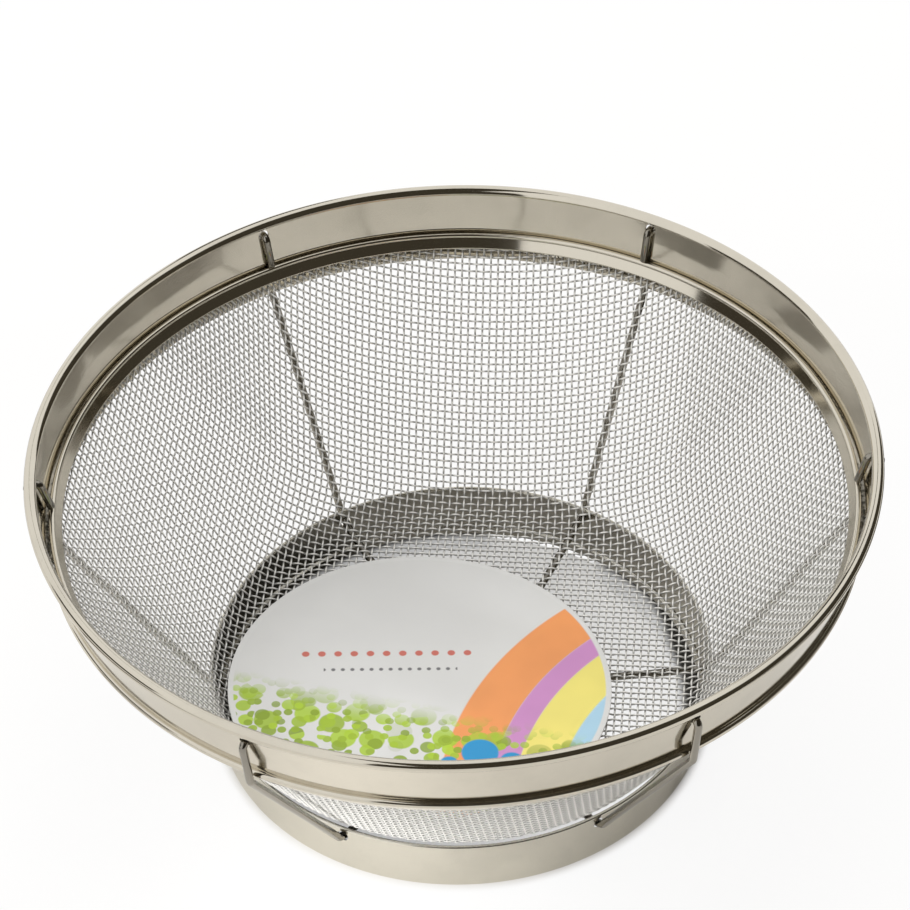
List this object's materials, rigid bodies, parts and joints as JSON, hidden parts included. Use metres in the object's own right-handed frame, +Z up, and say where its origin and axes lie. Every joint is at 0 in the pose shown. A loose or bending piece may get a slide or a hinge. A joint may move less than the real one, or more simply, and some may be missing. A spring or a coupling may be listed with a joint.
{
  "type": "wire mesh colander",
  "caption": "Round wire mesh colander with a wide rim band, guard wires under the bowl and a foot ring, holding a loose printed card.",
  "frame": {"origin": "on the bowl's axis, level with the underside of the foot ring, which stands on the table", "axes": "+Z up along the axis, out of the bowl's mouth; the pictured front faces -Y"},
  "size_m": [0.1912, 0.19, 0.0803],
  "materials": {
    "band_steel": "bright polished sheet",
    "wire_steel": "bright drawn wire",
    "mesh_steel": "bright woven wire",
    "foot_steel": "semi-bright sheet",
    "card": "coated printed card"
  },
  "bodies": {
    "colander": {"rim_band": "band_steel", "rim_core_wire": "wire_steel", "clamp_ring": "band_steel", "mesh_basket": "mesh_steel", "guard_wire_1": "wire_steel", "guard_wire_2": "wire_steel", "guard_wire_3": "wire_steel", "foot_ring": "foot_steel"},
    "card": {"insert_card": "card"}
  },
  "joints": [
    {"name": "card_lift", "type": "slide", "parent": "colander", "child": "card", "axis": [0, 0, 1], "range_m": [0, 0.1]}
  ]
}
